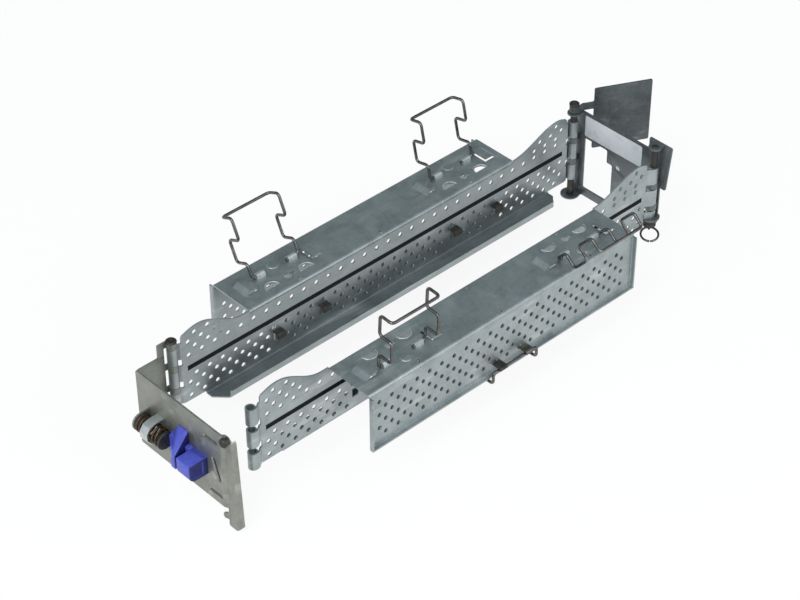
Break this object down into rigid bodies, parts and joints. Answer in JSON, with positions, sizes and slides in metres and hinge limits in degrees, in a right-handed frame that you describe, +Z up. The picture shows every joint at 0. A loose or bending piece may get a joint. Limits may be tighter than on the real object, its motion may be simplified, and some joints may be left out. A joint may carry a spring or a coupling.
{
  "type": "server cable management arm",
  "caption": "Folding cable management arm for a rack server: two perforated sheet-steel trays with wire bails, hinged to an elbow and a rail bracket with a sliding latch.",
  "frame": {"origin": "middle of the middle knuckle's bore at the free end of the front arm", "axes": "+X along the arms towards the elbow, +Y from the front arm to the rear arm, +Z up along the hinge pins"},
  "size_m": [0.5278, 0.2172, 0.1389],
  "materials": {
    "zinc_sheet": "zinc plated sheet, satin with a fine spangle",
    "bright_wire": "bright plated round wire",
    "bracket_steel": "dull plated sheet",
    "elbow_steel": "plated sheet, satin",
    "stop_steel": "plain dark sheet",
    "dark_steel": "dark phosphate",
    "spring_steel": "oiled spring wire",
    "blue_plastic": "smooth moulded plastic",
    "bare_label": "bare matt label"
  },
  "bodies": {
    "rear_arm": {"rear_spine": "zinc_sheet", "rear_top": "zinc_sheet", "rear_wall": "zinc_sheet", "rear_shelf": "zinc_sheet", "rear_knuckles_left": "zinc_sheet", "rear_knuckles_right": "zinc_sheet", "rear_spine_catches": "dark_steel", "rear_wall_catches": "dark_steel"},
    "rail_bracket": {"bracket_plate": "bracket_steel", "bracket_leaf": "bracket_steel", "bracket_stud": "dark_steel", "bracket_strap": "bracket_steel", "bracket_stop": "bracket_steel", "bracket_pin": "dark_steel", "latch_spring": "spring_steel"},
    "latch": {"latch_slide": "blue_plastic"},
    "elbow": {"elbow_web": "elbow_steel", "elbow_lugs_rear": "elbow_steel", "elbow_lugs_front": "elbow_steel", "elbow_label": "bare_label", "elbow_pin": "dark_steel"},
    "front_arm": {"front_spine": "zinc_sheet", "front_top": "zinc_sheet", "front_wall": "zinc_sheet", "front_shelf": "zinc_sheet", "front_knuckles_left": "zinc_sheet", "front_knuckles_right": "zinc_sheet", "front_spine_catches": "dark_steel", "front_wall_catches": "dark_steel"},
    "stop_plate": {"stop_plate": "stop_steel"},
    "pull_pin": {"pull_pin": "dark_steel", "pin_cap": "dark_steel", "cap_eye": "dark_steel"},
    "pull_ring": {"pull_ring": "bright_wire"},
    "rear_bail_left": {"rear_bail_left": "bright_wire"},
    "rear_bail_right": {"rear_bail_right": "bright_wire"},
    "rear_bail_lower": {"rear_bail_lower": "bright_wire"},
    "front_bail_left": {"front_bail_left": "bright_wire"},
    "front_bail_right": {"front_bail_right": "bright_wire"},
    "front_bail_lower": {"front_bail_lower": "bright_wire"}
  },
  "joints": [
    {"name": "bracket_swing", "type": "hinge", "parent": "rear_arm", "child": "rail_bracket", "pos_m": [0, 0.088, 0], "axis": [0, 0, 1], "range_deg": [-100, 8]},
    {"name": "latch_slide", "type": "slide", "parent": "rail_bracket", "child": "latch", "axis": [0, 1, 0], "range_m": [0, 0.006], "stiffness_N_per_m": 250, "springref_m": -0.012, "deforming": ["latch_spring"]},
    {"name": "elbow_swing", "type": "hinge", "parent": "rear_arm", "child": "elbow", "pos_m": [0.42, 0.088, 0], "axis": [0, 0, 1], "range_deg": [0, 90]},
    {"name": "front_arm_swing", "type": "hinge", "parent": "elbow", "child": "front_arm", "pos_m": [0.42, 0, 0], "axis": [0, 0, 1], "range_deg": [0, 90]},
    {"name": "stop_plate_swing", "type": "hinge", "parent": "elbow", "child": "stop_plate", "pos_m": [0.42, 0.088, 0.04], "axis": [0, 0, 1], "range_deg": [-20, 100]},
    {"name": "pin_pull", "type": "slide", "parent": "elbow", "child": "pull_pin", "axis": [0, 0, 1], "range_m": [-0.015, 0]},
    {"name": "ring_swing", "type": "hinge", "parent": "pull_pin", "child": "pull_ring", "pos_m": [0.42, 0, -0.0322], "axis": [-0.7314, 0.682, 0], "range_deg": [-75, 0]},
    {"name": "front_bail_left_swing", "type": "hinge", "parent": "front_arm", "child": "front_bail_left", "pos_m": [0.121, -0.026, 0.02385], "axis": [1, 0, 0], "range_deg": [-83, 38]},
    {"name": "front_bail_right_swing", "type": "hinge", "parent": "front_arm", "child": "front_bail_right", "pos_m": [0.306, -0.026, 0.02385], "axis": [1, 0, 0], "range_deg": [-121, 0]},
    {"name": "rear_bail_left_swing", "type": "hinge", "parent": "rear_arm", "child": "rear_bail_left", "pos_m": [0.121, 0.114, 0.02385], "axis": [-1, 0, 0], "range_deg": [-105, 16]},
    {"name": "rear_bail_right_swing", "type": "hinge", "parent": "rear_arm", "child": "rear_bail_right", "pos_m": [0.306, 0.114, 0.02385], "axis": [-1, 0, 0], "range_deg": [-93, 28]},
    {"name": "front_bail_lower_swing", "type": "hinge", "parent": "front_arm", "child": "front_bail_lower", "pos_m": [0.215, 0.005, -0.03285], "axis": [1, 0, 0], "range_deg": [0, 100]},
    {"name": "rear_bail_lower_swing", "type": "hinge", "parent": "rear_arm", "child": "rear_bail_lower", "pos_m": [0.215, 0.083, -0.03285], "axis": [-1, 0, 0], "range_deg": [0, 100]}
  ]
}
